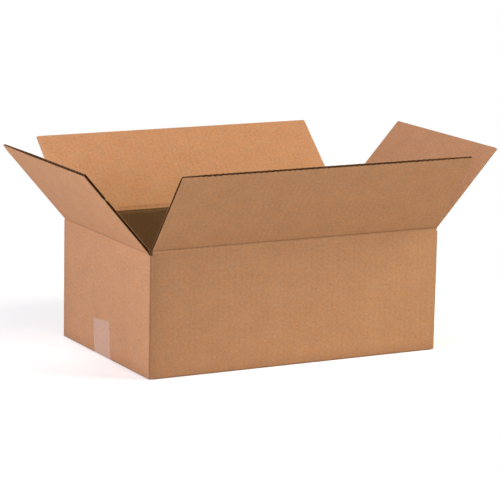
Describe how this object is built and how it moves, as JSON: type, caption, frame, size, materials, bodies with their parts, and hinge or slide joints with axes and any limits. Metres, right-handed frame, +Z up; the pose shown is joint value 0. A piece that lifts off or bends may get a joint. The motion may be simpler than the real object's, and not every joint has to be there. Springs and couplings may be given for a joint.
{
  "type": "open corrugated cardboard box",
  "caption": "Open slotted corrugated box with taped bottom flaps and top flaps that fold shut over the inside.",
  "frame": {"origin": "on the floor under the middle of the box, on the face it stands on", "axes": "+X along the long front panel, +Y from the front panel to the back panel, +Z up"},
  "size_m": [0.5926, 0.4391, 0.2681],
  "materials": {
    "kraft_board": "matte",
    "kraft_paper": "matte",
    "clear_tape": "gloss"
  },
  "bodies": {
    "carton": {"carton_body": "kraft_board", "bottom_tape": "clear_tape"},
    "front_flap": {"front_flap": "kraft_paper"},
    "back_flap": {"back_flap": "kraft_paper"},
    "left_flap": {"left_flap": "kraft_paper"},
    "right_flap": {"right_flap": "kraft_paper"}
  },
  "joints": [
    {"name": "front_crease", "type": "hinge", "parent": "carton", "child": "front_flap", "pos_m": [0, -0.131, 0.1624], "axis": [-1, 0, 0], "range_deg": [-137.3, 127.7]},
    {"name": "back_crease", "type": "hinge", "parent": "carton", "child": "back_flap", "pos_m": [0, 0.131, 0.1624], "axis": [1, 0, 0], "range_deg": [-126.8, 138.2]},
    {"name": "left_crease", "type": "hinge", "parent": "carton", "child": "left_flap", "pos_m": [-0.207, 0, 0.1581], "axis": [0, 1, 0], "range_deg": [-134.2, 130.8]},
    {"name": "right_crease", "type": "hinge", "parent": "carton", "child": "right_flap", "pos_m": [0.207, 0, 0.1581], "axis": [0, -1, 0], "range_deg": [-132.8, 132.2]}
  ]
}
